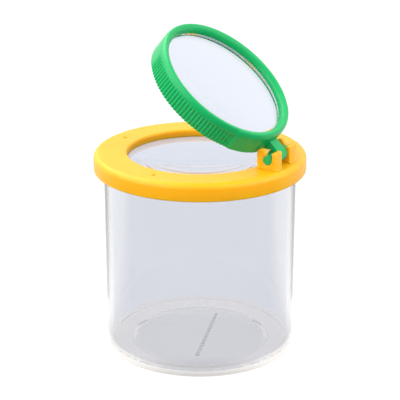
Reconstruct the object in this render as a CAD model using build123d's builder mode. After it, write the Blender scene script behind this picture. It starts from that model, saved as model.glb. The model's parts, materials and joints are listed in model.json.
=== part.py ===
from build123d import *
from math import hypot, sqrt
import os

# Bug catcher jar: a clear cup, a push-on lid with a fixed lens in its window, and a second lens in a
# ribbed frame that flips up on a snap-in hinge. Lengths are millimetres. The origin is the centre of the
# cup's underside, +Z is up, and the hinge is on the +X side of the lid with its pin along Y.

# Cup
cup_height = 65.2  # floor's underside to the rim
cup_base_radius = 31.25  # outside, at the floor
cup_mouth_radius = 31.75  # outside, just under the rim band: the wall opens slightly upwards
cup_wall = 1.6
cup_floor = 2.2
base_round = 0.6  # outside corner between wall and floor
floor_round = 1.5  # inside corner between wall and floor
foot_radius = 22.4  # inside edge of the ring that the cup stands on
foot_height = 0.6
rim_band_height = 2.6
rim_band_proud = 0.7
rim_round = 0.4

# Lid
skirt_wall = 2.45
lid_height = 5.83  # skirt's lower edge to the top face
lid_plate = 2.0
lid_edge_round = 1.2
skirt_round = 0.4
push_fit = 0.1  # radial clearance of the skirt on the rim band
lid_seat_gap = 0.05  # plate above the cup's rim
vent_radius = 0.75
vent_count = 3
vent_inset = 1.05  # vents inside the cup's wall

# Lid lens, held from below between a ledge and snap lugs
collar_gap = 3.3  # air space between the cup's wall and the lens collar
collar_wall = 1.6
lens_ledge = 1.3  # how far the window's edge reaches over the lens
lens_clearance = 0.05  # lens in its pocket, all round
window_depth = 2.4  # lid's top face down to the lens's rim
window_round = 0.8
lid_lens_rim = 1.6  # thickness at the edge
lid_lens_crown = 1.4  # height of the dome on top
lens_belly = 0.2  # shallower dome under each lens
lens_land = 1.3  # flat band round each dome

# Snap lugs under both lenses
lug_count = 3
lug_arc = 24.0  # degrees
lug_reach = 0.4
lug_height = 0.7
lug_root = 0.3  # how far a lug runs into the wall that carries it

# Lens frame
open_angle = 39.5  # degrees from shut, as it stands open
frame_gap = 1.2  # frame's underside above the lid when shut
frame_overlap = 0.3  # ribs past the window's edge
frame_wall = 1.85  # ribbed wall round the lens pocket
shoulder_width = 0.8  # wall's outside in to the crest
shoulder_rise = 2.3  # top of the upright wall up to the crest
eye_ledge = 0.8  # how far the eye's edge reaches over the lens
flip_lens_depth = 2.5  # bowl round the lens, from the crest down to the lens's rim
flip_lens_rim = 4.6
flip_lens_crown = 1.8
frame_foot = 0.15  # wall below the lugs under the lens
hinge_pad_proud = 0.35  # smooth end beside the hinge stands out past the ribs
hinge_pad_drop = 0.25  # and its own shoulder ends this far below the crest
pad_arc = 90.0  # degrees of each smooth end
rib_pitch = 3.0  # degrees
flute_radius = 0.45
flute_depth = 0.4
flute_top = 2.0  # plain band left above the flutes

# Hinge
pin_radius = 1.5
pin_clearance = 0.06  # running fit of the pin in the clips
pin_proud = 0.1  # pin ends past the clips
pin_chamfer = 0.2
knuckle_wall = 0.9
knuckle_lift = 0.77  # knuckle clear of the lid
arm_width = 4.7
arm_rise = 2.75  # arm's top above the pin's centre, where it leaves the ring
arm_gap = 0.35  # arm between the clips
clip_width = 4.35
hook_width = 1.6  # hook along the pin, at the outer end of its clip
hook_round = 1.55  # rounded head of the hook that closes over the pin
hook_back = 2.15  # centre of that head, towards the window from the pin
hook_rise = 1.95  # and above the pin
saddle_rise = 0.0  # saddle beside the hook, above the pin's centre
jaw_wall = 1.47
jaw_rise = 2.45  # outer jaw above the pin's centre
jaw_round = 0.5
clip_root = 0.7  # hollow at the foot of the clips
swing_gap = 0.29  # frame clear of the clips as it swings

# Levels and radii that follow
cup_inner_base = cup_base_radius - cup_wall
cup_inner_mouth = cup_mouth_radius - cup_wall
rim_radius = cup_mouth_radius + rim_band_proud
rim_bottom = cup_height - rim_band_height
skirt_inner = rim_radius + push_fit
lid_radius = skirt_inner + skirt_wall
plate_bottom = cup_height + lid_seat_gap
lid_top = plate_bottom + lid_plate
lid_bottom = lid_top - lid_height

collar_radius = cup_inner_mouth - collar_gap
lid_pocket_radius = collar_radius - collar_wall
lid_lens_radius = lid_pocket_radius - lens_clearance
window_radius = lid_lens_radius - lens_ledge
vent_circle = cup_inner_mouth - vent_inset
lid_lens_top = lid_top - window_depth
lid_lens_bottom = lid_lens_top - lid_lens_rim
lid_lug_top = lid_lens_bottom - lens_clearance
collar_bottom = lid_lug_top - lug_height
lug_turns = [(lug + 0.5) * 360 / lug_count - lug_arc / 2 for lug in range(lug_count)]

rib_radius = window_radius + frame_overlap
hinge_pad_radius = rib_radius + hinge_pad_proud
crest_radius = rib_radius - shoulder_width
frame_pocket_radius = rib_radius - frame_wall
flip_lens_radius = frame_pocket_radius - lens_clearance
eye_radius = flip_lens_radius - eye_ledge
frame_bottom = lid_top + frame_gap

# Heights above the frame's underside: lugs, lens and bowl stand on one another
flip_lug_top = frame_foot + lug_height
flip_lens_bottom = flip_lug_top + lens_clearance
flip_lens_top = flip_lens_bottom + flip_lens_rim
frame_height = flip_lens_top + flip_lens_depth
shoulder_bottom = frame_height - shoulder_rise
pad_top = frame_height - hinge_pad_drop

bore_radius = pin_radius + pin_clearance
knuckle_radius = pin_radius + knuckle_wall
clip_start = arm_width / 2 + arm_gap
pin_half = clip_start + clip_width + pin_proud
hook_start = clip_start + clip_width - hook_width
hook_face = -hook_back - hook_round
hook_tip = -hook_back + hook_round
hook_reach = hypot(hook_back, hook_rise) + hook_round
saddle_reach = hypot(hook_face, saddle_rise)
pin_beside_hook = sqrt(hinge_pad_radius**2 - hook_start**2) + hook_reach
pin_beside_saddle = sqrt(hinge_pad_radius**2 - clip_start**2) + saddle_reach
pin_x = max(pin_beside_hook, pin_beside_saddle) + swing_gap
pin_z = lid_top + knuckle_lift + knuckle_radius

# The hinge pin, and the upright plane across its middle
pin_axis = Axis((pin_x, 0, pin_z), (0, 1, 0))
pin_plane = Plane((pin_x, 0, pin_z), x_dir=(1, 0, 0), z_dir=(0, -1, 0))


def section_at(level, turn):
    """Upright plane through the jar's axis, turned about it by so many degrees, with its zero at a level."""
    return Plane(Location((0, 0, level), (0, 0, turn)) * Plane.XZ.location)


def lens_profile(radius, rim_bottom_level, rim_top_level, crown):
    """Half section of a lens: a dome on top, a shallow one below, and a flat band round each."""
    dome = radius - lens_land
    with BuildSketch() as profile:
        with BuildLine():
            TangentArc((0, rim_top_level + crown), (dome, rim_top_level), tangent=(1, 0))
            Polyline((dome, rim_top_level), (radius, rim_top_level), (radius, rim_bottom_level),
                     (dome, rim_bottom_level))
            TangentArc((0, rim_bottom_level - lens_belly), (dome, rim_bottom_level), tangent=(1, 0))
            Line((0, rim_bottom_level - lens_belly), (0, rim_top_level + crown))
        make_face()
    return profile.sketch


def lug_profile(wall_radius, top):
    """Wedge that a lens snaps past: flat on top and sloping away below."""
    with BuildSketch() as profile:
        with BuildLine():
            Polyline((wall_radius + lug_root, top), (wall_radius - lug_reach, top),
                     (wall_radius, top - lug_height), (wall_radius + lug_root, top - lug_height), close=True)
        make_face()
    return profile.sketch


def round_corner(point, radius):
    """Round the corner of the sketch in hand that lies at a point."""
    fillet(vertices().sort_by_distance(point)[0], radius)


os.makedirs("parts", exist_ok=True)

# Clear cup: foot ring, floor, slightly opening wall and the rim band that the lid pushes over
with BuildPart() as cup:
    with BuildSketch(Plane.XZ):
        with BuildLine():
            Polyline((0, foot_height), (foot_radius, foot_height), (foot_radius, 0), (cup_base_radius, 0),
                     (cup_mouth_radius, rim_bottom - rim_band_proud), (rim_radius, rim_bottom),
                     (rim_radius, cup_height), (cup_inner_mouth, cup_height), (cup_inner_base, cup_floor),
                     (0, cup_floor), close=True)
        make_face()
        round_corner((cup_base_radius, 0), base_round)
        round_corner((cup_inner_base, cup_floor), floor_round)
        round_corner((rim_radius, cup_height), rim_round)
        round_corner((cup_inner_mouth, cup_height), rim_round)
    revolve(axis=Axis.Z)
cup.part.label = "cup"
export_step(cup.part, "parts/cup.step")

# Lid: skirt, plate and lens collar in one section, then lugs, air holes and the hinge clips
with BuildPart() as lid:
    with BuildSketch(Plane.XZ):
        with BuildLine():
            Polyline((window_radius, lid_top), (lid_radius, lid_top), (lid_radius, lid_bottom),
                     (skirt_inner, lid_bottom), (skirt_inner, plate_bottom), (collar_radius, plate_bottom),
                     (collar_radius, collar_bottom), (lid_pocket_radius, collar_bottom),
                     (lid_pocket_radius, lid_lens_top), (window_radius, lid_lens_top), close=True)
        make_face()
        round_corner((lid_radius, lid_top), lid_edge_round)
        round_corner((window_radius, lid_top), window_round)
        round_corner((lid_radius, lid_bottom), skirt_round)
        round_corner((skirt_inner, lid_bottom), skirt_round)
    revolve(axis=Axis.Z)
    for lug_turn in lug_turns:
        with BuildSketch(section_at(0, lug_turn)):
            add(lug_profile(lid_pocket_radius, lid_lug_top))
        revolve(axis=Axis.Z, revolution_arc=lug_arc)
    with Locations((0, 0, lid_top)):
        with PolarLocations(vent_circle, vent_count, start_angle=90, angular_range=180, endpoint=True):
            Hole(vent_radius, depth=lid_plate)
    # Each clip is a saddle under the pin, a straight jaw outside it and a hook over its outer end
    clip_foot = lid_top - pin_z
    tip_bore = sqrt(bore_radius**2 - hook_tip**2)
    jaw_face = bore_radius + jaw_wall
    clip_bottom = clip_foot - lid_plate / 2
    for side in (1, -1):
        clip_plane = pin_plane.offset(-side * clip_start)
        with BuildSketch(clip_plane):
            with BuildLine():
                Line((hook_face - clip_root, clip_bottom), (hook_face - clip_root, clip_foot))
                TangentArc((hook_face, clip_foot + clip_root), (hook_face - clip_root, clip_foot),
                           tangent=(0, -1))
                Line((hook_face, clip_foot + clip_root), (hook_face, hook_rise))
                ThreePointArc((hook_face, hook_rise), (-hook_back, hook_rise + hook_round),
                              (hook_tip, hook_rise))
                Line((hook_tip, hook_rise), (hook_tip, tip_bore))
                ThreePointArc((hook_tip, tip_bore), (-bore_radius, 0), (0, -bore_radius))
                ThreePointArc((0, -bore_radius), (bore_radius * sqrt(0.5), -bore_radius * sqrt(0.5)),
                              (bore_radius, 0))
                Polyline((bore_radius, 0), (bore_radius, jaw_rise), (jaw_face, jaw_rise),
                         (jaw_face, clip_foot + clip_root))
                TangentArc((jaw_face, clip_foot + clip_root), (jaw_face + clip_root, clip_foot),
                           tangent=(0, -1))
                Polyline((jaw_face + clip_root, clip_foot), (jaw_face + clip_root, clip_bottom),
                         (hook_face - clip_root, clip_bottom))
            make_face()
            round_corner((jaw_face, jaw_rise), jaw_round)
        extrude(amount=-side * clip_width)
        # Clear the hook away beside the arm, down to the saddle
        with BuildSketch(clip_plane):
            with BuildLine():
                Polyline((hook_face - hook_round, saddle_rise), (bore_radius, saddle_rise),
                         (bore_radius, hook_rise + 2 * hook_round),
                         (hook_face - hook_round, hook_rise + 2 * hook_round), close=True)
            make_face()
        extrude(amount=-side * (clip_width - hook_width), mode=Mode.SUBTRACT)
lid.part.label = "lid"
export_step(lid.part, "parts/lid.step")

# Lens in the lid's window
with BuildPart() as lid_lens:
    with BuildSketch(Plane.XZ):
        add(lens_profile(lid_lens_radius, lid_lens_bottom, lid_lens_top, lid_lens_crown))
    revolve(axis=Axis.Z)
lid_lens.part.label = "lid_lens"
export_step(lid_lens.part, "parts/lid_lens.step")

# Lens frame: ribbed ring with smooth ends, hinge arm, knuckle and pin in one moulding
with BuildPart() as lens_frame:
    # Lens pocket, upright wall, round shoulder up to the crest, and bowl down to the eye
    with BuildSketch(section_at(frame_bottom, 0)):
        with BuildLine():
            Polyline((eye_radius, flip_lens_top), (frame_pocket_radius, flip_lens_top),
                     (frame_pocket_radius, 0), (rib_radius, 0), (rib_radius, shoulder_bottom))
            EllipticalCenterArc((crest_radius, shoulder_bottom), shoulder_width, shoulder_rise,
                                start_angle=0, arc_size=90)
            EllipticalCenterArc((crest_radius, flip_lens_top), crest_radius - eye_radius, flip_lens_depth,
                                start_angle=90, arc_size=90)
        make_face()
    revolve(axis=Axis.Z)
    # Smooth end beside the hinge, with its own shoulder
    with BuildSketch(section_at(frame_bottom, -pad_arc / 2)):
        with BuildLine():
            Polyline((crest_radius, pad_top), (crest_radius, 0), (hinge_pad_radius, 0),
                     (hinge_pad_radius, shoulder_bottom))
            EllipticalCenterArc((crest_radius, shoulder_bottom), hinge_pad_radius - crest_radius,
                                pad_top - shoulder_bottom, start_angle=0, arc_size=90)
        make_face()
    revolve(axis=Axis.Z, revolution_arc=pad_arc)
    # Flutes between the ribs, on both sides of the frame
    rib_arc = 180 - pad_arc
    flute_count = round(rib_arc / rib_pitch)
    flute_span = (flute_count - 1) * rib_pitch
    with BuildSketch(Plane.XY.offset(frame_bottom)):
        for middle in (90, 270):
            with PolarLocations(rib_radius + flute_radius - flute_depth, flute_count,
                                start_angle=middle - flute_span / 2, angular_range=flute_span,
                                endpoint=True):
                Circle(flute_radius)
    extrude(amount=frame_height - flute_top, mode=Mode.SUBTRACT)
    # Lugs under the lens
    for lug_turn in lug_turns:
        with BuildSketch(section_at(frame_bottom, lug_turn)):
            add(lug_profile(frame_pocket_radius, flip_lug_top))
        revolve(axis=Axis.Z, revolution_arc=lug_arc)
    # Arm from the ring to the knuckle, flush with the ring's underside
    arm_inner = rib_radius - frame_wall / 2 - pin_x
    with BuildSketch(pin_plane):
        Circle(knuckle_radius)
        with BuildLine():
            Polyline((arm_inner, frame_bottom - pin_z), (0, frame_bottom - pin_z), (0, knuckle_radius),
                     (arm_inner, arm_rise), close=True)
        make_face()
    extrude(amount=arm_width / 2, both=True)
    with BuildSketch(pin_plane):
        Circle(pin_radius)
    extrude(amount=pin_half, both=True)
    pin_ends = edges(Select.LAST).filter_by(GeomType.CIRCLE).sort_by(Axis.Y)
    chamfer([pin_ends[0], pin_ends[-1]], pin_chamfer)
# The frame is drawn shut, and stands open
lens_frame.part = lens_frame.part.rotate(pin_axis, open_angle, transform=True)
lens_frame.part.label = "lens_frame"
export_step(lens_frame.part, "parts/lens_frame.step")

# Lens in the frame, turned open with it
with BuildPart() as flip_lens:
    with BuildSketch(section_at(frame_bottom, 0)):
        add(lens_profile(flip_lens_radius, flip_lens_bottom, flip_lens_top, flip_lens_crown))
    revolve(axis=Axis.Z)
flip_lens.part = flip_lens.part.rotate(pin_axis, open_angle, transform=True)
flip_lens.part.label = "flip_lens"
export_step(flip_lens.part, "parts/flip_lens.step")

print("hinge pin at", round(pin_x, 3), 0, round(pin_z, 3), "lid top", round(lid_top, 3))
print("window", round(window_radius, 3), "ribs", round(rib_radius, 3), "lid radius", round(lid_radius, 3))
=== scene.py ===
"""Bug catcher jar: a clear cup with a push-on lens lid and a second lens in a ribbed flip-up frame.

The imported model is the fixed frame. The pieces here take the places of its solids, with smooth walls, fine
edges and finishes.
"""

import json
import math

import bmesh
import bpy
from bpy.props import FloatProperty, FloatVectorProperty, IntProperty, PointerProperty
from mathutils import Matrix, Vector


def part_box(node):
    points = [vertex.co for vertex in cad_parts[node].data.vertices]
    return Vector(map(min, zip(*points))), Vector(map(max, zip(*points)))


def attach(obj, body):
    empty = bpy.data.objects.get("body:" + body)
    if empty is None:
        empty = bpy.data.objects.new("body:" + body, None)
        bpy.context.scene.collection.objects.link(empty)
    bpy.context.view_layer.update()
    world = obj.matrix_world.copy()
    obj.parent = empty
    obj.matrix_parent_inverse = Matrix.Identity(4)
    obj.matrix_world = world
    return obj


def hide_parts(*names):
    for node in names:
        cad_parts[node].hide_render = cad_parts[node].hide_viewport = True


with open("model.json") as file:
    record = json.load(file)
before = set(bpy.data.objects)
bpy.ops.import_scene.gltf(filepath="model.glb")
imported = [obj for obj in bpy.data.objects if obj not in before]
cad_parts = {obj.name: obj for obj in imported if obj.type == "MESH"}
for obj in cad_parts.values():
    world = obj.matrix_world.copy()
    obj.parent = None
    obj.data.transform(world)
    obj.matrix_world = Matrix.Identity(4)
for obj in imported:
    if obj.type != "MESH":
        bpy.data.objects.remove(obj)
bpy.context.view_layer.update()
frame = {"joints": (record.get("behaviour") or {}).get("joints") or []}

bl_info = {
    "name": "Bug catcher jar",
    "version": (1, 0, 0),
    "blender": (4, 5, 0),
    "location": "3D View > Sidebar > Bug Jar",
    "description": "Clear cup, push-on lens lid and flip-up lens, dressed over the packed model",
    "category": "Add Mesh",
}

MM = 0.001
RIM = "rim"  # attribute that is 1 on a lens's rim and 0 on its faces
WHITE = (1, 1, 1, 1)

# Places that come from the frame
CUP_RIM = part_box("cup")[1]
LID_LOW, LID_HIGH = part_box("lid")
LID_LENS_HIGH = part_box("lid_lens")[1]
FLIP_JOINT = next(joint for joint in frame["joints"] if joint["name"] == "lens_flip")
PIN = Vector(FLIP_JOINT["pos_m"])
OPEN_ANGLE = -math.radians(FLIP_JOINT["range_deg"][0])
# The frame is drawn shut and turned open about its pin
OPEN_TURN = Matrix.Translation(PIN) @ Matrix.Rotation(OPEN_ANGLE, 4, "Y") @ Matrix.Translation(-PIN)

# How finely the shapes are drawn: segments all the way round, and steps along an arc
CUP_SEGMENTS = 320
LID_SEGMENTS = 255  # an odd count, so that no air hole is centred on a line of the mesh
LENS_SEGMENTS = 256
PIN_SEGMENTS = 48
VENT_SEGMENTS = 32
DOME_STEPS = 48
ROUND_STEPS = 8
EDGE_STEPS = 4
LUG_STEPS = 12
KNUCKLE_STEPS = 28
BORE_STEPS = 24
MOUTH_STEPS = 14
CORNER_STEPS = 6
RIB_WALL_STEPS = 12
RIB_STEPS = 12
SHOULDER_STEPS = 16

# Edges that bend by more than this stay sharp
CREASE = math.radians(35)
RIB_CREASE = math.radians(50)


def linear(hex_colour):
    """An sRGB hex colour as linear red, green and blue."""
    levels = [int(hex_colour[i : i + 2], 16) / 255 for i in (1, 3, 5)]
    return tuple(c / 12.92 if c <= 0.04045 else ((c + 0.055) / 1.055) ** 2.4 for c in levels)


def number(name, description, value, unit="NONE"):
    """A plain number property, such as a level, a share or a power."""
    return FloatProperty(name=name, description=description, default=value, unit=unit)


def length(name, description, millimetres):
    """A length property, shown in the scene's unit and written here in millimetres."""
    return FloatProperty(
        name=name, description=description, default=millimetres * MM, unit="LENGTH", precision=5
    )


def turn(name, description, degrees):
    """An angle property, written here in degrees."""
    return FloatProperty(
        name=name, description=description, default=math.radians(degrees), subtype="ANGLE"
    )


def colour(name, description, hex_colour):
    """A colour property, written here as an sRGB hex value."""
    return FloatVectorProperty(
        name=name, description=description, default=linear(hex_colour), size=3, min=0, max=1, subtype="COLOR"
    )


class JarCup(bpy.types.PropertyGroup):
    """Sizes of the clear cup."""

    base_radius: length("Base radius", "Outside of the wall at the floor", 31.25)
    mouth_radius: length("Mouth radius", "Outside of the wall under the rim band", 31.75)
    wall: length("Wall", "Thickness of the wall", 1.6)
    floor: length("Floor", "Height of the floor's upper face", 2.2)
    base_round: length("Base round", "Outside corner between wall and floor", 0.6)
    floor_round: length("Floor round", "Inside corner between wall and floor", 1.5)
    foot_radius: length("Foot radius", "Inside edge of the ring that the cup stands on", 22.4)
    foot_height: length("Foot height", "Depth of the recess inside the foot ring", 0.6)
    foot_slope: length("Foot slope", "Breadth of the slope from the foot ring up into its recess", 1.6)
    foot_round: length("Foot round", "Edges of the foot ring's slope", 1.2)
    band_height: length("Band height", "Rim band that the lid pushes over", 2.6)
    band_proud: length("Band proud", "Rim band past the wall", 0.7)
    rim_round: length("Rim round", "Edges of the rim", 0.4)


class JarScale(bpy.types.PropertyGroup):
    """Sizes of the measuring scale moulded into the cup's floor."""

    span: length("Span", "Scale from end to end", 36.0)
    pitch: length("Pitch", "From one mark to the next", 2.4)
    mark_length: length("Mark length", "Each mark along the scale", 1.3)
    mark_width: length("Mark width", "Each mark across the scale", 1.3)
    mark_height: length("Mark height", "Marks above the floor", 0.45)
    top_length: number("Top length", "Top of a mark as a share of its foot, along the scale", 0.8)
    top_width: number("Top width", "Top of a mark as a share of its foot, across the scale", 0.3)
    seat_gap: length("Seat gap", "Marks clear of the floor", 0.02)
    offset: length("Offset", "Scale's line from the cup's centre", 2.6)
    heading: turn("Heading", "Scale's direction from the hinge side", 109.0)


class JarLid(bpy.types.PropertyGroup):
    """Sizes of the lid and its window."""

    plate: length("Plate", "Thickness of the top plate", 2.0)
    height: length("Height", "Skirt's lower edge to the top face", 5.83)
    skirt_wall: length("Skirt wall", "Thickness of the skirt", 2.45)
    edge_round: length("Edge round", "Outer top edge", 1.9)
    skirt_round: length("Skirt round", "Lower edges of the skirt", 0.4)
    window_radius: length("Window radius", "Opening over the lens", 23.9)
    window_round: length("Window round", "Upper edge of the opening", 0.8)
    window_depth: length("Window depth", "Top face down to the lens's rim", 2.4)
    collar_wall: length("Collar wall", "Thickness of the lens collar", 1.6)
    collar_drop: length("Collar drop", "Lens's rim down to the collar's lower edge", 2.35)
    lens_clearance: length("Lens clearance", "Lens in its pocket", 0.05)
    vent_radius: length("Vent radius", "Radius of each air hole", 0.75)
    vent_inset: length("Vent inset", "Air holes inside the cup's wall", 1.05)
    vent_drill: length("Vent drill", "Drill for the air holes, half of it below the top face", 8.0)
    vent_count: IntProperty(name="Vents", description="Air holes on the half away from the hinge", default=3)


class JarLenses(bpy.types.PropertyGroup):
    """Sizes of the two lenses."""

    land: length("Land", "Flat band round each dome", 1.3)
    edge_round: length("Edge round", "Polished edge of the rim", 0.2)
    lid_rim: length("Lid lens rim", "Thickness of the lid's lens at its edge", 1.6)
    lid_crown: length("Lid lens crown", "Height of the lid lens's dome", 1.4)
    flip_rim: length("Flip lens rim", "Thickness of the flip lens at its edge", 4.6)
    flip_crown: length("Flip lens crown", "Height of the flip lens's dome", 1.8)
    under_crown: length("Under crown", "Height of each lens's shallow underside", 0.2)
    flip_depth: length("Flip lens depth", "Frame's crest down to the lens's rim", 2.5)


class JarLugs(bpy.types.PropertyGroup):
    """Sizes of the lugs that each lens snaps in past."""

    count: IntProperty(name="Lugs", description="Lugs under each lens", default=3)
    arc: turn("Arc", "Arc of each lug", 24.0)
    reach: length("Reach", "Lug under the lens's rim", 0.4)
    height: length("Height", "Lug from its flat top to its foot", 0.7)
    root: length("Root", "Lug into the wall that carries it", 0.3)


class JarFrame(bpy.types.PropertyGroup):
    """Sizes of the flip-up lens frame."""

    gap: length("Gap", "Frame's underside above the lid when shut", 1.2)
    height: length("Height", "Underside to the crest of the ring", 8.0)
    rib_radius: length("Rib radius", "Outside of the ribs", 24.2)
    wall: length("Wall", "Ribbed wall round the lens pocket", 1.85)
    foot_round: length("Foot round", "Outer lower edge", 0.2)
    shoulder_width: length("Shoulder width", "Outside of the ribs in to the crest", 0.8)
    shoulder_rise: length("Shoulder rise", "Height of the rounded shoulder under the crest", 2.3)
    eye_ledge: length("Eye ledge", "Eye's edge over the lens", 0.8)
    hinge_pad: length("Hinge pad", "Smooth end beside the hinge, past the ribs", 0.35)
    pad_half: turn("Pad half", "Half the arc of each smooth end", 45.0)
    pad_blend: turn("Pad blend", "Arc over which a smooth end runs out", 4.0)
    rib_pitch: turn("Rib pitch", "From one rib to the next", 3.0)
    flute_depth: length("Flute depth", "Depth between the ribs", 0.4)
    flute_top: length("Flute top", "Ribs' upper end below the crest", 2.0)
    flute_fade: length("Flute fade", "Height over which the ribs run out", 1.0)


class JarHinge(bpy.types.PropertyGroup):
    """Sizes of the arm, the pin and the clips."""

    pin_radius: length("Pin radius", "Radius of the pin", 1.5)
    pin_proud: length("Pin proud", "Pin ends past the clips", 0.1)
    pin_chamfer: length("Pin chamfer", "Edges of the pin's ends", 0.2)
    knuckle_radius: length("Knuckle radius", "Round end of the arm", 2.4)
    arm_rise: length("Arm rise", "Arm's top above the pin, at the ring", 2.75)
    arm_width: length("Arm width", "Width of the arm along the pin", 4.7)
    arm_gap: length("Arm gap", "Arm between the clips", 0.35)
    clip_width: length("Clip width", "Each clip along the pin", 4.35)
    hook_width: length("Hook width", "Hook at the outer end of its clip", 1.6)
    bore_radius: length("Bore radius", "Hollow that the pin turns in", 1.56)
    hook_round: length("Hook round", "Rounded head of the hook", 1.55)
    hook_back: length("Hook back", "Centre of the head, towards the window", 2.15)
    hook_rise: length("Hook rise", "Centre of the head above the pin", 1.95)
    jaw_wall: length("Jaw wall", "Thickness of the outer jaw", 1.47)
    jaw_rise: length("Jaw rise", "Outer jaw above the pin", 2.45)
    jaw_round: length("Jaw round", "Outer top edge of the jaw", 0.5)
    root: length("Root", "Hollow at the foot of the clips", 0.7)
    edge: length("Edge", "Moulded edge on clips and arm", 0.18)
    weld: length("Weld", "Points of a clip nearer than this are joined", 0.009)


class JarFinish(bpy.types.PropertyGroup):
    """Colours of the mouldings."""

    lid: colour("Lid", "Yellow polypropylene", "#FFB106")
    frame: colour("Frame", "Green ABS", "#08AC5E")
    cup: colour("Cup", "Clear polystyrene", "#E7E9EE")
    lens: colour("Lens", "Clear acrylic", "#DFE5F0")


class JarStage(bpy.types.PropertyGroup):
    """The photograph's view and a plain studio."""

    azimuth: turn("Azimuth", "Camera round the jar, from the front", 30.19)
    pitch: turn("Pitch", "Camera's tilt down", 19.39)
    standoff: length("Standoff", "Camera from the jar's axis, along the floor", 518.2)
    eye_height: length("Eye height", "Camera above the floor", 232.4)
    nearest: length("Nearest", "Camera sees nothing nearer than this", 10.0)
    focal: number("Focal length", "Camera's lens", 148.8, "CAMERA")
    sensor: number("Sensor", "Width of the camera's sensor", 36.0, "CAMERA")
    ambient: number("Ambient", "Level of the studio's even light", 1.0)
    room_front: number("Room front", "Level of the studio before the jar, in gloss", 0.2)
    split: length("Split", "Half the blend from the dim studio in front to the bright one behind", 25.0)
    key: number("Key", "Power of the back softbox", 4.5, "POWER")
    left: number("Left", "Power of the left softbox", 6.5, "POWER")
    right: number("Right", "Power of the right softbox", 4.8, "POWER")
    sheet: length("Sheet", "Half the floor's breadth", 3000.0)
    paper: colour("Paper", "Pale sheet under the jar", "#5E5B58")
    floor_white: number("Floor white", "Light kept in the floor's shade", 0.9)
    floor_even: number("Floor even", "Light that the floor sends up", 0.12)
    floor_front: number("Floor front", "Floor before the jar, in gloss", 0.1)
    floor_back: number("Floor back", "Floor behind the jar, in gloss and clear plastic", 0.97)
    front_through: number("Front through", "Floor and studio before the jar, in clear plastic", 0.56)
    # Painted shade: the painted glow under the jar is dimmer towards the base's near edge
    floor_near: number("Floor near", "Light that the floor keeps under the base's near edge", 0.6)
    # Painted light: the floor under the jar glows in this warm tint, seen only through the clear base, out
    # to the share of the rim's radius below
    shade: colour("Shade", "Warm tinge of the floor under the jar", "#FFFBF6")
    shade_end: number("Shade end", "Where the tinge ends, as a share of the rim's radius", 1.1)
    bounces: IntProperty(name="Bounces", description="Times that light bounces at most", default=32)
    lens_bounces: IntProperty(name="Lens bounces", description="Bounces in clear plastic", default=24)


class JarSettings(bpy.types.PropertyGroup):
    """All the sizes and colours of the jar."""

    cup: PointerProperty(type=JarCup)
    scale: PointerProperty(type=JarScale)
    lid: PointerProperty(type=JarLid)
    lenses: PointerProperty(type=JarLenses)
    lugs: PointerProperty(type=JarLugs)
    frame: PointerProperty(type=JarFrame)
    hinge: PointerProperty(type=JarHinge)
    finish: PointerProperty(type=JarFinish)
    stage: PointerProperty(type=JarStage)


def lid_top(jar):
    """Height of the lid's top face."""
    return LID_LOW.z + jar.lid.height


def lid_lens_rim(jar):
    """Lower and upper height of the rim of the lid's lens."""
    high = lid_top(jar) - jar.lid.window_depth
    return high - jar.lenses.lid_rim, high


def flip_lens_rim(jar):
    """Lower and upper height of the flip lens's rim, with its frame shut."""
    high = lid_top(jar) + jar.frame.gap + jar.frame.height - jar.lenses.flip_depth
    return high - jar.lenses.flip_rim, high


def add_node(tree, kind, links=None, **settings):
    """Add a node with its settings, and give its inputs values or links, by name or number.

    A node given as an input links its first output.
    """
    node = tree.nodes.new(kind)
    for name, value in settings.items():
        setattr(node, name, value)
    for key, value in (links or {}).items():
        if isinstance(value, bpy.types.Node):
            value = value.outputs[0]
        if isinstance(value, bpy.types.NodeSocket):
            tree.links.new(value, node.inputs[key])
        else:
            node.inputs[key].default_value = value
    return node


def start_tree(name, values):
    """A Geometry Nodes tree for a piece's own mesh, with a named input for each value."""
    tree = bpy.data.node_groups.new(name, "GeometryNodeTree")
    tree.interface.new_socket("Geometry", in_out="INPUT", socket_type="NodeSocketGeometry")
    for label, value in values.items():
        kind = "NodeSocketInt" if isinstance(value, int) else "NodeSocketFloat"
        tree.interface.new_socket(label, in_out="INPUT", socket_type=kind)
    tree.interface.new_socket("Geometry", in_out="OUTPUT", socket_type="NodeSocketGeometry")
    return tree, add_node(tree, "NodeGroupInput").outputs


def run_tree(tree, shape, piece, values, material, crease=CREASE):
    """End the tree in real meshes of one material, run it on the piece with its values and bake that."""
    real = add_node(tree, "GeometryNodeRealizeInstances", {"Geometry": shape})
    done = add_node(tree, "GeometryNodeSetMaterial", {"Geometry": real, "Material": material})
    add_node(tree, "NodeGroupOutput", {"Geometry": done})
    modifier = piece.modifiers.new(tree.name, "NODES")
    modifier.node_group = tree
    for socket in tree.interface.items_tree:
        if socket.name in values:
            modifier[socket.identifier] = values[socket.name]
    return baked(piece, material, crease)


def arc(centre, radius, start, end, steps):
    """Points of an arc, with its angles in degrees."""
    points = []
    for step in range(steps + 1):
        angle = math.radians(start + (end - start) * step / steps)
        points.append((centre[0] + radius * math.cos(angle), centre[1] + radius * math.sin(angle)))
    return points


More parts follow.
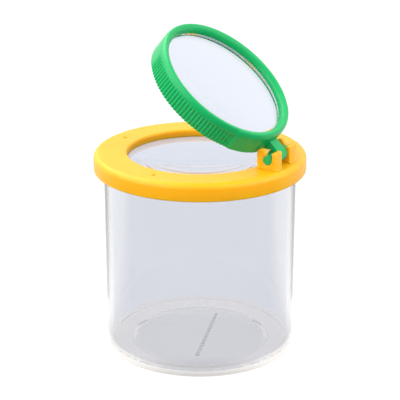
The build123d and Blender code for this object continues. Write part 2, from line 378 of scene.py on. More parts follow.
def rounded(corners, closed=False):
    """Outline through corners (x, z, round): a corner with a radius becomes an arc."""
    points = []
    for index, (x, z, radius) in enumerate(corners):
        here = Vector((x, z))
        if radius == 0 or (not closed and index in (0, len(corners) - 1)):
            points.append((x, z))
            continue
        back = (Vector(corners[index - 1][:2]) - here).normalized()
        ahead = (Vector(corners[(index + 1) % len(corners)][:2]) - here).normalized()
        half = back.angle(ahead) / 2
        centre = here + (back + ahead).normalized() * (radius / math.sin(half))
        first = here + back * (radius / math.tan(half)) - centre
        last = here + ahead * (radius / math.tan(half)) - centre
        start = math.atan2(first.y, first.x)
        sweep = (math.atan2(last.y, last.x) - start + math.pi) % (2 * math.pi) - math.pi
        points += arc(centre, radius, math.degrees(start), math.degrees(start + sweep), ROUND_STEPS)
    return points


def even_angles(count):
    """Angles all the way round, evenly spaced."""
    return [2 * math.pi * index / count for index in range(count)]


def skin(shape, rings, whole=True):
    """Faces from each ring of points to the next, all the way round or from the first point to the last."""
    for low, high in zip(rings, rings[1:]):
        for index in range(len(low) if whole else len(low) - 1):
            after = (index + 1) % len(low)
            corners = [low[index], low[after], high[after], high[index]]
            shape.faces.new(list(dict.fromkeys(corners)))
    bmesh.ops.recalc_face_normals(shape, faces=shape.faces)


def lathe(outline, angles, closed=False, whole=True):
    """A mesh turned about Z from an outline of (radius, height) points. A point on the axis is one vertex.

    Where it isn't whole, it is turned from the first angle to the last, and its two ends are shut.
    """
    turned = bmesh.new()
    rings = []
    for radius, height in outline:
        if radius == 0:
            ring = [turned.verts.new((0, 0, height))] * len(angles)
        else:
            ring = [turned.verts.new((radius * math.cos(a), radius * math.sin(a), height)) for a in angles]
        rings.append(ring)
    if not whole:
        for end in (0, -1):
            turned.faces.new([ring[end] for ring in rings])
    skin(turned, rings + rings[:1] if closed else rings, whole)
    return turned


def drawn_in(outline, inset):
    """An outline of (x, z) points, drawn counter-clockwise, moved inwards by a distance."""
    points = []
    for index, here in enumerate(outline):
        before = (Vector(here) - Vector(outline[index - 1])).normalized()
        ahead = (Vector(outline[(index + 1) % len(outline)]) - Vector(here)).normalized()
        inwards = Vector((-before.y - ahead.y, before.x + ahead.x)) / (1 + before.dot(ahead))
        points.append(Vector(here) + inwards * inset)
    return points


def extruded(outline, near, far, edge):
    """A solid from an outline of (x, z) points, drawn out along Y, with the edges of its ends rounded."""
    solid = bmesh.new()
    side = math.copysign(edge, far - near)
    bends = [math.pi / 2 * step / EDGE_STEPS for step in range(EDGE_STEPS + 1)]
    end = [(side * (1 - math.cos(bend)), edge * (1 - math.sin(bend))) for bend in bends]
    levels = [(near + along, inset) for along, inset in end]
    levels += [(far - along, inset) for along, inset in reversed(end)]
    rings = [[solid.verts.new((x, y, z)) for x, z in drawn_in(outline, inset)] for y, inset in levels]
    for ring in (rings[0], rings[-1]):
        solid.faces.new(ring)
    skin(solid, rings)
    return solid


def add_object(name, data):
    """A new object in the scene."""
    thing = bpy.data.objects.new(name, data)
    bpy.context.scene.collection.objects.link(thing)
    return thing


def piece_of(name, mesh, material, crease=CREASE):
    """An object from a mesh, smooth except past the crease angle."""
    mesh.materials.clear()
    mesh.materials.append(material)
    mesh.shade_smooth()
    mesh.set_sharp_from_angle(angle=crease)
    return add_object(name, mesh)


def make_piece(name, shape, material, place=None):
    """An object from a bmesh, at the origin with its place in its mesh."""
    mesh = bpy.data.meshes.new(name)
    if place is not None:
        shape.transform(place)
    shape.to_mesh(mesh)
    shape.free()
    return piece_of(name, mesh, material)


def baked(piece, material, crease=CREASE):
    """The piece with its modifiers made into a plain mesh of the same name."""
    name = piece.name
    graph = bpy.context.evaluated_depsgraph_get()
    mesh = bpy.data.meshes.new_from_object(piece.evaluated_get(graph))
    piece.modifiers.clear()
    bpy.data.objects.remove(piece)
    return piece_of(name, mesh, material, crease)


def dress(piece, body, slot, *nodes):
    """Tie a finished piece to its body and hide the nodes that it stands for. The slot is not used."""
    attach(piece, body)
    if nodes:
        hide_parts(*nodes)


def new_material(name):
    """An empty material, and its object coordinates in metres."""
    material = bpy.data.materials.new(name)
    material.use_nodes = True
    tree = material.node_tree
    tree.nodes.clear()
    return material, tree, add_node(tree, "ShaderNodeTexCoord").outputs["Object"]


def material_of(jar, maker):
    """The material that a function makes, made on first use."""
    return bpy.data.materials.get(maker.__name__) or maker(jar.finish)


def moulded_grain(tree, place, grain, depth):
    """Bump of a moulded skin: a fine unevenness of the given size in metres."""
    noise = add_node(tree, "ShaderNodeTexNoise", {"Vector": place, "Scale": 1 / grain, "Detail": 2.0})
    return add_node(tree, "ShaderNodeBump", {"Height": noise, "Distance": depth, "Strength": 0.5})


def mottled(tree, place, base, patch, spread):
    """A colour that drifts a little over patches of the given size, as pigment does in a moulding."""
    noise = add_node(tree, "ShaderNodeTexNoise", {"Vector": place, "Scale": 1 / patch, "Detail": 3.0})
    ramp = add_node(tree, "ShaderNodeValToRGB", {"Fac": noise})
    for element, position, level in zip(ramp.color_ramp.elements, (0.3, 0.7), (1 - spread, 1 + spread)):
        element.position = position
        element.color = (*(min(1, c * level) for c in base), 1)
    return ramp


def finish_material(material, tree, look, tint=None):
    """End a material in its shader. A clear one lets the lamps' light straight through, with its tint."""
    shader = add_node(tree, "ShaderNodeBsdfPrincipled", look)
    if tint is not None:
        lamps = add_node(tree, "ShaderNodeLightPath").outputs["Is Shadow Ray"]
        lit = add_node(tree, "ShaderNodeBsdfTransparent", {"Color": (*tint, 1)})
        shader = add_node(tree, "ShaderNodeMixShader", {0: lamps, 1: shader, 2: lit})
    add_node(tree, "ShaderNodeOutputMaterial", {"Surface": shader})
    return material


def yellow_polypropylene(finish):
    # Injection-moulded polypropylene: a warm yellow with a soft, slightly waxy gloss
    # Its fine grain is drawn coarser than the real one, so that it shows
    material, tree, place = new_material("yellow_polypropylene")
    look = {
        "Base Color": mottled(tree, place, finish.lid, 9 * MM, 0.03),
        "Roughness": 0.4,
        "IOR": 1.49,
        "Specular IOR Level": 0.4,
        "Subsurface Weight": 0.6,
        "Subsurface Radius": (1.0, 0.5, 0.1),
        "Subsurface Scale": 4 * MM,
        "Normal": moulded_grain(tree, place, 0.7 * MM, 0.01 * MM),
    }
    return finish_material(material, tree, look)


def green_abs(finish):
    # Injection-moulded ABS: saturated green with a tighter gloss than the lid, its grain drawn coarse too
    material, tree, place = new_material("green_abs")
    look = {
        "Base Color": mottled(tree, place, finish.frame, 8 * MM, 0.03),
        "Roughness": 0.3,
        "IOR": 1.53,
        "Specular IOR Level": 0.3,
        "Normal": moulded_grain(tree, place, 0.6 * MM, 0.008 * MM),
    }
    return finish_material(material, tree, look)


def clear_polystyrene(finish):
    # Polished mould, general-purpose polystyrene: clear, bright at the edges, with faint flow waves
    material, tree, place = new_material("clear_polystyrene")
    look = {
        "Base Color": (*finish.cup, 1),
        "Roughness": 0.02,
        "IOR": 1.59,
        "Transmission Weight": 1.0,
        "Normal": moulded_grain(tree, place, 14 * MM, 0.008 * MM),
    }
    return finish_material(material, tree, look, finish.cup)


def clear_acrylic(finish):
    # Optical acrylic: faces with a sharp gloss from a polished mould, and a rim that the mould leaves matt
    material, tree, place = new_material("clear_acrylic")
    rim = add_node(tree, "ShaderNodeAttribute", attribute_name=RIM).outputs["Fac"]
    look = {
        "Base Color": (*finish.lens, 1),
        "Roughness": add_node(tree, "ShaderNodeMapRange", {"Value": rim, "To Max": 0.2}),
        "IOR": 1.49,
        "Transmission Weight": 1.0,
        "Normal": moulded_grain(tree, place, 20 * MM, 0.005 * MM),
    }
    return finish_material(material, tree, look, finish.lens)


class JAR_OT_cup(bpy.types.Operator):
    """Turn the clear cup, with its foot ring, floor and rim band"""

    bl_idname = "bug_jar.cup"
    bl_label = "Cup"

    def execute(self, context):
        jar = context.scene.bug_jar
        cup = jar.cup
        rim = CUP_RIM.z
        band = rim - cup.band_height
        outline = rounded(
            [
                (0, cup.foot_height, 0),
                (cup.foot_radius - cup.foot_slope / 2, cup.foot_height, cup.foot_round),
                (cup.foot_radius + cup.foot_slope / 2, 0, cup.foot_round),
                (cup.base_radius, 0, cup.base_round),
                (cup.mouth_radius, band - cup.band_proud, cup.rim_round),
                (cup.mouth_radius + cup.band_proud, band, cup.rim_round),
                (cup.mouth_radius + cup.band_proud, rim, cup.rim_round),
                (cup.mouth_radius - cup.wall, rim, cup.rim_round),
                (cup.base_radius - cup.wall, cup.floor, cup.floor_round),
                (0, cup.floor, 0),
            ]
        )
        clear = material_of(jar, clear_polystyrene)
        piece = make_piece("cup_clear", lathe(outline, even_angles(CUP_SEGMENTS)), clear)
        dress(piece, "jar", "clear_cup", "cup")
        return {"FINISHED"}


class JAR_OT_floor_scale(bpy.types.Operator):
    """Set a row of raised measuring marks on the cup's floor"""

    bl_idname = "bug_jar.floor_scale"
    bl_label = "Floor scale"

    def execute(self, context):
        jar = context.scene.bug_jar
        scale = jar.scale
        clear = material_of(jar, clear_polystyrene)
        values = {
            "Span": scale.span,
            "Pitch": scale.pitch,
            "Mark length": scale.mark_length,
            "Mark width": scale.mark_width,
            "Mark height": scale.mark_height,
            "Top length": scale.top_length,
            "Top width": scale.top_width,
        }
        tree, given = start_tree("floor_scale_marks", values)
        spaces = add_node(tree, "ShaderNodeMath", {0: given["Span"], 1: given["Pitch"]}, operation="DIVIDE")
        count = add_node(tree, "ShaderNodeMath", {0: spaces, 1: 1.0}, operation="ADD")
        start = add_node(tree, "ShaderNodeMath", {0: given["Span"], 1: -0.5}, operation="MULTIPLY")
        first = add_node(tree, "ShaderNodeCombineXYZ", {"X": start})
        step = add_node(tree, "ShaderNodeCombineXYZ", {"X": given["Pitch"]})
        line = {"Count": count, "Start Location": first, "Offset": step}
        row = add_node(tree, "GeometryNodeMeshLine", line)
        sides = {"X": given["Mark length"], "Y": given["Mark width"], "Z": given["Mark height"]}
        size = add_node(tree, "ShaderNodeCombineXYZ", sides)
        block = add_node(tree, "GeometryNodeMeshCube", {"Size": size})
        # A ridge with sloping sides
        corner = add_node(tree, "GeometryNodeInputPosition")
        height = add_node(tree, "ShaderNodeSeparateXYZ", {0: corner}).outputs["Z"]
        upper = add_node(tree, "ShaderNodeMath", {0: height, 1: 0.0}, operation="GREATER_THAN")
        shares = {"X": given["Top length"], "Y": given["Top width"], "Z": 1.0}
        taper = add_node(tree, "ShaderNodeCombineXYZ", shares)
        narrow = add_node(tree, "ShaderNodeVectorMath", {0: corner, 1: taper}, operation="MULTIPLY")
        moved = {"Geometry": block, "Selection": upper, "Position": narrow}
        ridge = add_node(tree, "GeometryNodeSetPosition", moved)
        marks = add_node(tree, "GeometryNodeInstanceOnPoints", {"Points": row, "Instance": ridge})
        empty = add_object("floor_scale", bpy.data.meshes.new("floor_scale"))
        piece = run_tree(tree, marks, empty, values, clear)
        level = jar.cup.floor + scale.mark_height / 2 + scale.seat_gap
        place = Matrix.Rotation(scale.heading, 4, "Z") @ Matrix.Translation((0, -scale.offset, level))
        piece.data.transform(place)
        dress(piece, "jar", "clear_cup")
        return {"FINISHED"}


class JAR_OT_lid(bpy.types.Operator):
    """Turn the lid, with its skirt and lens collar, and pierce its air holes"""

    bl_idname = "bug_jar.lid"
    bl_label = "Lid"

    def execute(self, context):
        jar = context.scene.bug_jar
        lid = jar.lid
        radius = LID_HIGH.y
        bottom = LID_LOW.z
        top = lid_top(jar)
        skirt_inner = radius - lid.skirt_wall
        pocket = LID_LENS_HIGH.x + lid.lens_clearance
        collar = pocket + lid.collar_wall
        ledge = top - lid.window_depth
        collar_bottom = ledge - lid.collar_drop
        # Two more points on the top keep it flat up to its rounded edges
        outline = rounded(
            [
                (lid.window_radius, top, lid.window_round),
                (lid.window_radius + 2 * lid.window_round, top, 0),
                (radius - 1.5 * lid.edge_round, top, 0),
                (radius, top, lid.edge_round),
                (radius, bottom, lid.skirt_round),
                (skirt_inner, bottom, lid.skirt_round),
                (skirt_inner, top - lid.plate, 0),
                (collar, top - lid.plate, 0),
                (collar, collar_bottom, 0),
                (pocket, collar_bottom, 0),
                (pocket, ledge, 0),
                (lid.window_radius, ledge, 0),
            ],
            closed=True,
        )
        yellow = material_of(jar, yellow_polypropylene)
        piece = make_piece("lid_ring", lathe(outline, even_angles(LID_SEGMENTS), closed=True), yellow)
        piece = self.pierce(piece, jar, yellow)
        dress(piece, "lid", "yellow_lid", "lid")
        return {"FINISHED"}

    def pierce(self, piece, jar, yellow):
        """Cut the air holes, set out on an arc away from the hinge."""
        lid = jar.lid
        values = {
            "Vents": lid.vent_count,
            "Vent circle": jar.cup.mouth_radius - jar.cup.wall - lid.vent_inset,
            "Vent radius": lid.vent_radius,
            "Vent drill": lid.vent_drill,
            "Top": lid_top(jar),
        }
        tree, given = start_tree("lid_vents", values)
        half_round = {
            "Resolution": given["Vents"],
            "Radius": given["Vent circle"],
            "Start Angle": math.pi / 2,
            "Sweep Angle": math.pi,
        }
        circle = add_node(tree, "GeometryNodeCurveArc", half_round)
        size = {"Vertices": VENT_SEGMENTS, "Radius": given["Vent radius"], "Depth": given["Vent drill"]}
        drill = add_node(tree, "GeometryNodeMeshCylinder", size)
        drills = add_node(tree, "GeometryNodeInstanceOnPoints", {"Points": circle, "Instance": drill})
        level = add_node(tree, "ShaderNodeCombineXYZ", {"Z": given["Top"]})
        raised = add_node(tree, "GeometryNodeTransform", {"Geometry": drills, "Translation": level})
        cut = add_node(
            tree,
            "GeometryNodeMeshBoolean",
            {"Mesh 1": given["Geometry"], "Mesh 2": raised},
            operation="DIFFERENCE",
            solver="EXACT",
        )
        return run_tree(tree, cut, piece, values, yellow)


class JAR_OT_hinge_clips(bpy.types.Operator):
    """Stand the two snap-in clips on the lid"""

    bl_idname = "bug_jar.hinge_clips"
    bl_label = "Hinge clips"

    def execute(self, context):
        jar = context.scene.bug_jar
        hinge = jar.hinge
        yellow = material_of(jar, yellow_polypropylene)
        start = hinge.arm_width / 2 + hinge.arm_gap
        end = start + hinge.clip_width
        place = Matrix.Translation(PIN)
        for name, side in (("near", -1), ("far", 1)):
            saddle = extruded(self.saddle(jar), side * start, side * end, hinge.edge)
            clip = make_piece(f"clip_{name}", saddle, yellow, place)
            hook = extruded(self.hook(hinge), side * (end - hinge.hook_width), side * end, hinge.edge)
            hook = make_piece(f"hook_{name}", hook, yellow, place)
            joined = clip.modifiers.new("Hook", "BOOLEAN")
            joined.operation = "UNION"
            joined.solver = "EXACT"
            joined.object = hook
            weld = clip.modifiers.new("Weld", "WELD")
            weld.merge_threshold = hinge.weld
            clip = baked(clip, yellow)
            bpy.data.objects.remove(hook)
            dress(clip, "lid", "yellow_lid")
        return {"FINISHED"}

    def saddle(self, jar):
        """Outline of the saddle under the pin and the straight jaw outside it."""
        hinge = jar.hinge
        foot = lid_top(jar) - PIN.z
        sunk = foot - jar.lid.plate / 2
        left = -hinge.hook_back - hinge.hook_round
        right = hinge.bore_radius + hinge.jaw_wall
        jaw = (right - hinge.jaw_round, hinge.jaw_rise - hinge.jaw_round)
        outline = [(left - hinge.root, sunk)]
        outline += arc((left - hinge.root, foot + hinge.root), hinge.root, -90, 0, CORNER_STEPS)
        outline += [(left, 0)]
        outline += arc((0, 0), hinge.bore_radius, 180, 360, BORE_STEPS)
        outline += [(hinge.bore_radius, hinge.jaw_rise)]
        outline += arc(jaw, hinge.jaw_round, 90, 0, CORNER_STEPS)
        outline += arc((right + hinge.root, foot + hinge.root), hinge.root, 180, 270, CORNER_STEPS)
        outline += [(right + hinge.root, sunk)]
        return outline[::-1]

    def hook(self, hinge):
        """Outline of the hook that closes over the pin, reaching down into the saddle."""
        left = -hinge.hook_back - hinge.hook_round
        head = (-hinge.hook_back, hinge.hook_rise)
        mouth = math.degrees(math.acos((hinge.hook_round - hinge.hook_back) / hinge.bore_radius))
        outline = [(left, -hinge.jaw_round)]
        outline += arc(head, hinge.hook_round, 180, 0, BORE_STEPS)
        outline += arc((0, 0), hinge.bore_radius, mouth, 180, MOUTH_STEPS)
        outline += [(-hinge.bore_radius - hinge.jaw_round, -hinge.jaw_round)]
        return outline[::-1]


class JAR_OT_lens_frame(bpy.types.Operator):
    """Turn the lens frame's ring, press the flutes between its ribs, and add its arm and pin"""

    bl_idname = "bug_jar.lens_frame"
    bl_label = "Lens frame"

    def execute(self, context):
        jar = context.scene.bug_jar
        green = material_of(jar, green_abs)
        bottom = lid_top(jar) + jar.frame.gap
        ring = self.press(self.ring(jar, green), jar.frame, green)
        ring.data.transform(OPEN_TURN @ Matrix.Translation((0, 0, bottom)))
        dress(ring, "flip", "green_frame", "lens_frame")
        arm = make_piece("frame_arm", self.arm(jar, bottom), green, OPEN_TURN @ Matrix.Translation(PIN))
        dress(arm, "flip", "green_frame")
        pin = make_piece("frame_pin", self.pin(jar.hinge), green, OPEN_TURN @ Matrix.Translation(PIN))
        dress(pin, "flip", "green_frame")
        return {"FINISHED"}

    def ring(self, jar, green):
        """The plain ring, close-meshed where the ribs will be."""
        part = jar.frame
        pocket = part.rib_radius - part.wall
        eye = pocket - jar.lid.lens_clearance - part.eye_ledge
        crest = part.rib_radius - part.shoulder_width
        seat = part.height - jar.lenses.flip_depth
        shoulder = part.height - part.shoulder_rise
        foot = (part.rib_radius, 0, part.foot_round)
        outline = rounded([(pocket, 0, 0), foot, (part.rib_radius, shoulder, 0)])[:-1]
        # Points up the wall let the ribs run out smoothly
        wall = outline[-1][1]
        for step in range(1, RIB_WALL_STEPS):
            outline.append((part.rib_radius, wall + (shoulder - wall) * step / RIB_WALL_STEPS))
        bends = [math.pi / 2 * step / SHOULDER_STEPS for step in range(SHOULDER_STEPS + 1)]
        for bend in bends:
            radius = crest + part.shoulder_width * math.cos(bend)
            outline.append((radius, shoulder + part.shoulder_rise * math.sin(bend)))
        for bend in bends[1:]:
            radius = crest - (crest - eye) * math.sin(bend)
            outline.append((radius, seat + jar.lenses.flip_depth * math.cos(bend)))
        outline.append((pocket, seat))
        fine = part.rib_pitch / RIB_STEPS
        coarse = 4 * fine
        angles = []
        angle = 0.0
        while angle < 2 * math.pi - fine / 2:
            angles.append(angle)
            beside = abs((angle + math.pi / 2) % math.pi - math.pi / 2)
            angle += fine if beside > part.pad_half - 2 * part.pad_blend else coarse
        return make_piece("frame_ring", lathe(outline, angles, closed=True), green)

    def press(self, ring, part, green):
        """Press flutes into the ring's sides and let its hinge end stand proud."""
        values = {
            "Rib pitch": part.rib_pitch,
            "Flute depth": part.flute_depth,
            "Flute top": part.height - part.flute_top,
            "Flute fade": part.flute_fade,
            "Pad half": part.pad_half,
            "Pad blend": part.pad_blend,
            "Hinge pad": part.hinge_pad,
            "Crest": part.rib_radius - part.shoulder_width,
            "Shoulder width": part.shoulder_width,
        }
        tree, given = start_tree("frame_ribs", values)
        position = add_node(tree, "GeometryNodeInputPosition")
        parts = add_node(tree, "ShaderNodeSeparateXYZ", {0: position}).outputs
        flat = add_node(tree, "ShaderNodeCombineXYZ", {"X": parts["X"], "Y": parts["Y"]})
        outward = add_node(tree, "ShaderNodeVectorMath", {0: flat}, operation="NORMALIZE")
        radius = add_node(tree, "ShaderNodeVectorMath", {0: flat}, operation="LENGTH").outputs["Value"]
        made = {**dict(given.items()), **dict(parts.items()), "radius": radius}
        quarter = math.pi / 2
        # Each row is a sum or a smooth step: what it is called, what it does and what it takes
        rows = (
            # Angle from the hinge, and from the middle of the ribs at either side
            ("turned", "ARCTAN2", "Y", "X"),
            ("round", "ABSOLUTE", "turned"),
            ("past side", "SUBTRACT", "round", quarter),
            ("aside", "ABSOLUTE", "past side"),
            # How fully a point belongs to one of the smooth ends: only the one by the hinge stands proud
            ("ribs end", "SUBTRACT", quarter, "Pad half"),
            ("pad start", "ADD", "ribs end", "Pad blend"),
            ("pad", "SMOOTHSTEP", "aside", "ribs end", "pad start"),
            ("by hinge", "LESS_THAN", "round", quarter),
            ("proud", "MULTIPLY", "by hinge", "Hinge pad"),
            ("raised", "MULTIPLY", "proud", "pad"),
            # A wave with one hollow to each pitch, held between the ends and under the plain top band
            ("pitches", "DIVIDE", "aside", "Rib pitch"),
            ("phase", "MULTIPLY", "pitches", 2 * math.pi),
            ("wave", "COSINE", "phase"),
            ("twice hollow", "SUBTRACT", 1.0, "wave"),
            ("hollow", "MULTIPLY", "twice hollow", 0.5),
            ("full flute", "MULTIPLY", "hollow", "Flute depth"),
            ("fade end", "SUBTRACT", "Flute top", "Flute fade"),
            ("below top", "SMOOTHSTEP", "Z", "Flute top", "fade end"),
            ("flute", "MULTIPLY", "full flute", "below top"),
            ("off pad", "SUBTRACT", 1.0, "pad"),
            ("ribbed", "MULTIPLY", "flute", "off pad"),
            # All of it on the upright wall, running out over the shoulder to nothing at the crest
            ("past crest", "SUBTRACT", "radius", "Crest"),
            ("share", "DIVIDE", "past crest", "Shoulder width"),
            ("outside", "GREATER_THAN", "share", 0.0),
            ("move", "SUBTRACT", "raised", "ribbed"),
            ("offset", "MULTIPLY", "move", "share"),
        )
        for name, work, *inputs in rows:
            links = {key: made.get(value, value) for key, value in enumerate(inputs)}
            if work == "SMOOTHSTEP":
                made[name] = add_node(tree, "ShaderNodeMapRange", links, interpolation_type=work)
            else:
                made[name] = add_node(tree, "ShaderNodeMath", links, operation=work)
        scaled = {0: outward, "Scale": made["offset"]}
        offset = add_node(tree, "ShaderNodeVectorMath", scaled, operation="SCALE")
        moved = {"Geometry": given["Geometry"], "Selection": made["outside"], "Offset": offset}
        pressed = add_node(tree, "GeometryNodeSetPosition", moved)
        return run_tree(tree, pressed, ring, values, green, RIB_CREASE)

    def arm(self, jar, bottom):
        """The arm from the ring to its round end, flush with the ring's underside."""
        hinge = jar.hinge
        inner = jar.frame.rib_radius - jar.frame.wall / 2 - PIN.x
        foot = bottom - PIN.z
        meets = math.degrees(math.acos(foot / hinge.knuckle_radius)) + 90
        outline = [(inner, hinge.arm_rise), (inner, foot)]
        outline += arc((0, 0), hinge.knuckle_radius, -meets, 90, KNUCKLE_STEPS)
        return extruded(outline, -hinge.arm_width / 2, hinge.arm_width / 2, hinge.edge)

    def pin(self, hinge):
        """The pin through the arm's end, with its edges broken."""
        half = hinge.arm_width / 2 + hinge.arm_gap + hinge.clip_width + hinge.pin_proud
        small = hinge.pin_radius - hinge.pin_chamfer
        outline = [
            (0, -half),
            (small, -half),
            (hinge.pin_radius, hinge.pin_chamfer - half),
            (hinge.pin_radius, half - hinge.pin_chamfer),
            (small, half),
            (0, half),
        ]
        pin = lathe(outline, even_angles(PIN_SEGMENTS))
        pin.transform(Matrix.Rotation(math.pi / 2, 4, "X"))
        return pin


class JAR_OT_lenses(bpy.types.Operator):
    """Turn the lens in the lid's window and the lens in the flip-up frame"""

    bl_idname = "bug_jar.lenses"
    bl_label = "Lenses"

    def execute(self, context):
        jar = context.scene.bug_jar
        sizes = jar.lenses
        clear = material_of(jar, clear_acrylic)
        shape = self.lens(LID_LENS_HIGH.x, *lid_lens_rim(jar), sizes.lid_crown, sizes)
        lid_lens = make_piece("lid_lens_clear", shape, clear)
        dress(lid_lens, "lid", "clear_lens", "lid_lens")
        radius = jar.frame.rib_radius - jar.frame.wall - jar.lid.lens_clearance
        shape = self.lens(radius, *flip_lens_rim(jar), sizes.flip_crown, sizes)
        flip_lens = make_piece("flip_lens_clear", shape, clear, OPEN_TURN)
        dress(flip_lens, "flip", "clear_lens", "flip_lens")
        return {"FINISHED"}

    def lens(self, radius, low, high, crown, sizes):
        """A lens between two heights of its rim, with its rim marked."""
        upper = self.dome(radius - sizes.land, high, crown)
        lower = [(r, 2 * low - z) for r, z in self.dome(radius - sizes.land, low, sizes.under_crown)]
        edge = sizes.edge_round
        rim = rounded([(*upper[-1], 0), (radius, high, edge), (radius, low, edge), (*lower[-1], 0)])
        shape = lathe(upper + rim[1:-1] + lower[::-1], even_angles(LENS_SEGMENTS))
        on_rim = shape.verts.layers.float.new(RIM)
        for point in shape.verts:
            point[on_rim] = float(math.hypot(point.co.x, point.co.y) > radius - sizes.land / 2)
        return shape

    def dome(self, reach, rim, crown):
        """Half outline of a dome, from its middle out to its edge at the rim's height."""
        sphere = (reach * reach + crown * crown) / (2 * crown)
        points = []
        for step in range(DOME_STEPS + 1):
            r = reach * step / DOME_STEPS
            points.append((r, rim + crown - sphere + math.sqrt(sphere * sphere - r * r)))
        return points


class JAR_OT_snap_lugs(bpy.types.Operator):
    """Set the lugs that each lens snaps in past, on the lid's collar and in the flip-up frame"""

    bl_idname = "bug_jar.snap_lugs"
    bl_label = "Snap lugs"

    def execute(self, context):
        jar = context.scene.bug_jar
        collar = LID_LENS_HIGH.x + jar.lid.lens_clearance
        lug = self.lug(jar, collar, lid_lens_rim(jar)[0])
        piece = self.spread("lid_lugs", lug, jar.lugs.count, material_of(jar, yellow_polypropylene))
        dress(piece, "lid", "yellow_lid")
        pocket = jar.frame.rib_radius - jar.frame.wall
        lug = self.lug(jar, pocket, flip_lens_rim(jar)[0])
        piece = self.spread("frame_lugs", lug, jar.lugs.count, material_of(jar, green_abs))
        piece.data.transform(OPEN_TURN)
        dress(piece, "flip", "green_frame")
        return {"FINISHED"}

    def lug(self, jar, wall, lens_low):
        """One lug on a round wall: flat under the lens, and sloped below so that the lens slips past."""
        lugs = jar.lugs
        top = lens_low - jar.lid.lens_clearance
        outline = [
            (wall + lugs.root, top),
            (wall - lugs.reach, top),
            (wall, top - lugs.height),
            (wall + lugs.root, top - lugs.height / 2),
        ]
        start = math.pi / lugs.count - lugs.arc / 2
        angles = [start + lugs.arc * step / LUG_STEPS for step in range(LUG_STEPS + 1)]
        return lathe(outline, angles, closed=True, whole=False)

    def spread(self, name, lug, count, material):
        """The lug repeated evenly round its wall."""
        values = {"Lugs": count}
        tree, given = start_tree(name, values)
        row = add_node(tree, "GeometryNodeMeshLine", {"Count": given["Lugs"], "Offset": (0, 0, 0)})
        share = add_node(tree, "ShaderNodeMath", {0: 2 * math.pi, 1: given["Lugs"]}, operation="DIVIDE")
        index = add_node(tree, "GeometryNodeInputIndex")
        angle = add_node(tree, "ShaderNodeMath", {0: index, 1: share}, operation="MULTIPLY")
        turned = add_node(tree, "ShaderNodeCombineXYZ", {"Z": angle})
        copies = {"Points": row, "Instance": given["Geometry"], "Rotation": turned}
        lugs = add_node(tree, "GeometryNodeInstanceOnPoints", copies)
        return run_tree(tree, lugs, make_piece(name, lug, material), values, material)


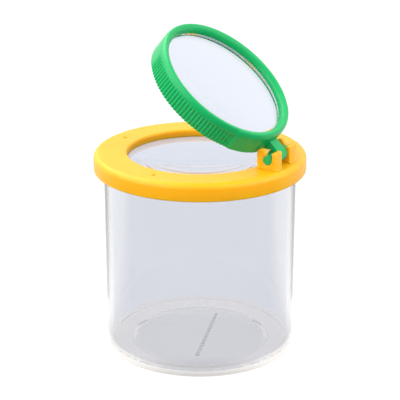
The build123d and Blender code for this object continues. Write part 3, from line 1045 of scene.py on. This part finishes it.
class JAR_OT_stage(bpy.types.Operator):
    """Lay the pale floor, hang the soft lights and set the camera"""

    bl_idname = "bug_jar.stage"
    bl_label = "Stage"

    def execute(self, context):
        stage = context.scene.bug_jar.stage
        self.floor(stage)
        self.world(context, stage)
        # Softboxes by their place in metres, seen from the front, and their width and power
        softboxes = (
            ("softbox_back", (-0.5, 0.5, 0.75), 0.8, stage.key),
            ("softbox_left", (-0.65, -0.28, 0.5), 1.0, stage.left),
            ("softbox_right", (0.65, -0.28, 0.5), 1.0, stage.right),
        )
        view = Matrix.Rotation(stage.azimuth, 4, "Z")
        for name, place, width, power in softboxes:
            self.softbox(name, view @ Vector(place), width, power)
        self.camera(context, stage, view)
        context.scene.view_settings.view_transform = "Standard"
        # Light runs on inside the lenses by many reflections before it leaves them
        context.scene.cycles.max_bounces = stage.bounces
        context.scene.cycles.glossy_bounces = stage.lens_bounces
        context.scene.cycles.transmission_bounces = stage.lens_bounces
        return {"FINISHED"}

    def depth(self, tree, stage, place):
        """How far a place is behind the jar's axis, seen from the front."""
        away = (-math.sin(stage.azimuth), math.cos(stage.azimuth), 0)
        dot = add_node(tree, "ShaderNodeVectorMath", {0: place, 1: away}, operation="DOT_PRODUCT")
        return dot.outputs["Value"]

    def shown(self, tree, stage, depth, camera, even, gloss, back):
        """A level for each kind of ray: the camera's, the even light, gloss and what clear plastic shows.

        Gloss and clear plastic see a bright studio behind the jar and a dimmer one in front of it.
        """
        path = add_node(tree, "ShaderNodeLightPath").outputs
        # A ray through clear plastic counts as glossy too
        rays = {0: path["Is Glossy Ray"], 1: path["Is Transmission Ray"]}
        reflected = add_node(tree, "ShaderNodeMath", rays, operation="SUBTRACT", use_clamp=True)
        levels = [(path["Is Camera Ray"], camera), (path["Is Diffuse Ray"], even)]
        for ray, front in ((reflected, gloss), (path["Is Transmission Ray"], stage.front_through)):
            blend = {
                "Value": depth,
                "From Min": -stage.split,
                "From Max": stage.split,
                "To Min": front,
                "To Max": back,
            }
            level = add_node(tree, "ShaderNodeMapRange", blend, interpolation_type="SMOOTHSTEP")
            levels.append((ray, level))
        total = 0.0
        for ray, level in levels:
            total = add_node(tree, "ShaderNodeMath", {0: ray, 1: level, 2: total}, operation="MULTIPLY_ADD")
        return total

    def floor(self, stage):
        """A large pale sheet that looks white and keeps a soft shade, with a painted glow under the jar."""
        half = stage.sheet
        mesh = bpy.data.meshes.new("floor")
        mesh.from_pydata(
            [(-half, -half, 0), (half, -half, 0), (half, half, 0), (-half, half, 0)], [], [(0, 1, 2, 3)]
        )
        material, tree, place = new_material("pale_paper")
        paper = add_node(tree, "ShaderNodeBsdfDiffuse", {"Color": (*stage.paper, 1), "Roughness": 0.0})
        depth = self.depth(tree, stage, place)
        levels = (stage.floor_white, stage.floor_even, stage.floor_front, stage.floor_back)
        level = self.shown(tree, stage, depth, *levels)
        open_glow = add_node(tree, "ShaderNodeEmission", {"Color": WHITE, "Strength": level})
        # Under the jar the sheet glows as painted light, seen through the clear base, with painted shade
        # that dims it from the base's near edge to halfway in
        reach = add_node(tree, "ShaderNodeVectorMath", {0: place}, operation="LENGTH").outputs["Value"]
        rim = CUP_RIM.x
        steps = (
            (reach, rim, stage.shade_end * rim, 1, 0),
            (depth, -rim, -rim / 2, stage.floor_near, 1),
        )
        below, near = [
            add_node(
                tree,
                "ShaderNodeMapRange",
                {"Value": value, "From Min": start, "From Max": end, "To Min": first, "To Max": last},
                interpolation_type="SMOOTHSTEP",
            )
            for value, start, end, first, last in steps
        ]
        # Painted glow under the base, in its warm tint, with its painted shade at the near edge
        painted_base_glow = add_node(tree, "ShaderNodeEmission", {"Color": (*stage.shade, 1), "Strength": near})
        path = add_node(tree, "ShaderNodeLightPath").outputs
        rays = {0: path["Is Camera Ray"], 1: path["Is Diffuse Ray"]}
        seen = add_node(tree, "ShaderNodeMath", rays, operation="ADD")
        covered = add_node(tree, "ShaderNodeMath", {0: below, 1: seen}, operation="SUBTRACT", use_clamp=True)
        glow = add_node(tree, "ShaderNodeMixShader", {0: covered, 1: open_glow, 2: painted_base_glow})
        both = add_node(tree, "ShaderNodeAddShader", {0: paper, 1: glow})
        add_node(tree, "ShaderNodeOutputMaterial", {"Surface": both})
        mesh.materials.append(material)
        add_object("floor", mesh)

    def world(self, context, stage):
        """White where it is seen, and an even studio light elsewhere."""
        world = bpy.data.worlds.new("studio")
        world.use_nodes = True
        tree = world.node_tree
        tree.nodes.clear()
        place = add_node(tree, "ShaderNodeTexCoord").outputs["Generated"]
        depth = self.depth(tree, stage, place)
        level = self.shown(tree, stage, depth, 1.0, stage.ambient, stage.room_front, 1.0)
        light = add_node(tree, "ShaderNodeBackground", {"Color": WHITE, "Strength": level})
        add_node(tree, "ShaderNodeOutputWorld", {"Surface": light})
        context.scene.world = world

    def softbox(self, name, place, width, power):
        """A square soft light that faces the cup's mouth. Clear plastic shows the studio without it."""
        light = bpy.data.lights.new(name, "AREA")
        light.size = width
        light.energy = power
        box = add_object(name, light)
        box.location = place
        aim = Vector((0, 0, CUP_RIM.z)) - place
        box.rotation_euler = aim.to_track_quat("-Z", "Y").to_euler()
        box.visible_transmission = False

    def camera(self, context, stage, view):
        """The photograph's view."""
        data = bpy.data.cameras.new("camera")
        data.sensor_width = stage.sensor
        data.lens = stage.focal
        data.clip_start = stage.nearest
        camera = add_object("camera", data)
        camera.location = view @ Vector((0, -stage.standoff, stage.eye_height))
        camera.rotation_euler = (math.pi / 2 - stage.pitch, 0, stage.azimuth)
        context.scene.camera = camera


class JAR_PT_panel(bpy.types.Panel):
    """The jar's pieces, in the order that they are made"""

    bl_idname = "JAR_PT_panel"
    bl_label = "Bug catcher jar"
    bl_space_type = "VIEW_3D"
    bl_region_type = "UI"
    bl_category = "Bug Jar"

    def draw(self, context):
        for operator in OPERATORS:
            self.layout.operator(operator.bl_idname)


GROUPS = (
    JarCup,
    JarScale,
    JarLid,
    JarLenses,
    JarLugs,
    JarFrame,
    JarHinge,
    JarFinish,
    JarStage,
    JarSettings,
)
OPERATORS = (
    JAR_OT_cup,
    JAR_OT_floor_scale,
    JAR_OT_lid,
    JAR_OT_hinge_clips,
    JAR_OT_lens_frame,
    JAR_OT_lenses,
    JAR_OT_snap_lugs,
    JAR_OT_stage,
)


def register():
    for group in (*GROUPS, *OPERATORS, JAR_PT_panel):
        bpy.utils.register_class(group)
    bpy.types.Scene.bug_jar = PointerProperty(type=JarSettings)


def unregister():
    del bpy.types.Scene.bug_jar
    for group in reversed((*GROUPS, *OPERATORS, JAR_PT_panel)):
        bpy.utils.unregister_class(group)


def main():
    register()
    bpy.ops.bug_jar.cup()
    bpy.ops.bug_jar.floor_scale()
    bpy.ops.bug_jar.lid()
    bpy.ops.bug_jar.hinge_clips()
    bpy.ops.bug_jar.lens_frame()
    bpy.ops.bug_jar.lenses()
    bpy.ops.bug_jar.snap_lugs()
    bpy.ops.bug_jar.stage()


if __name__ == "__main__":
    main()
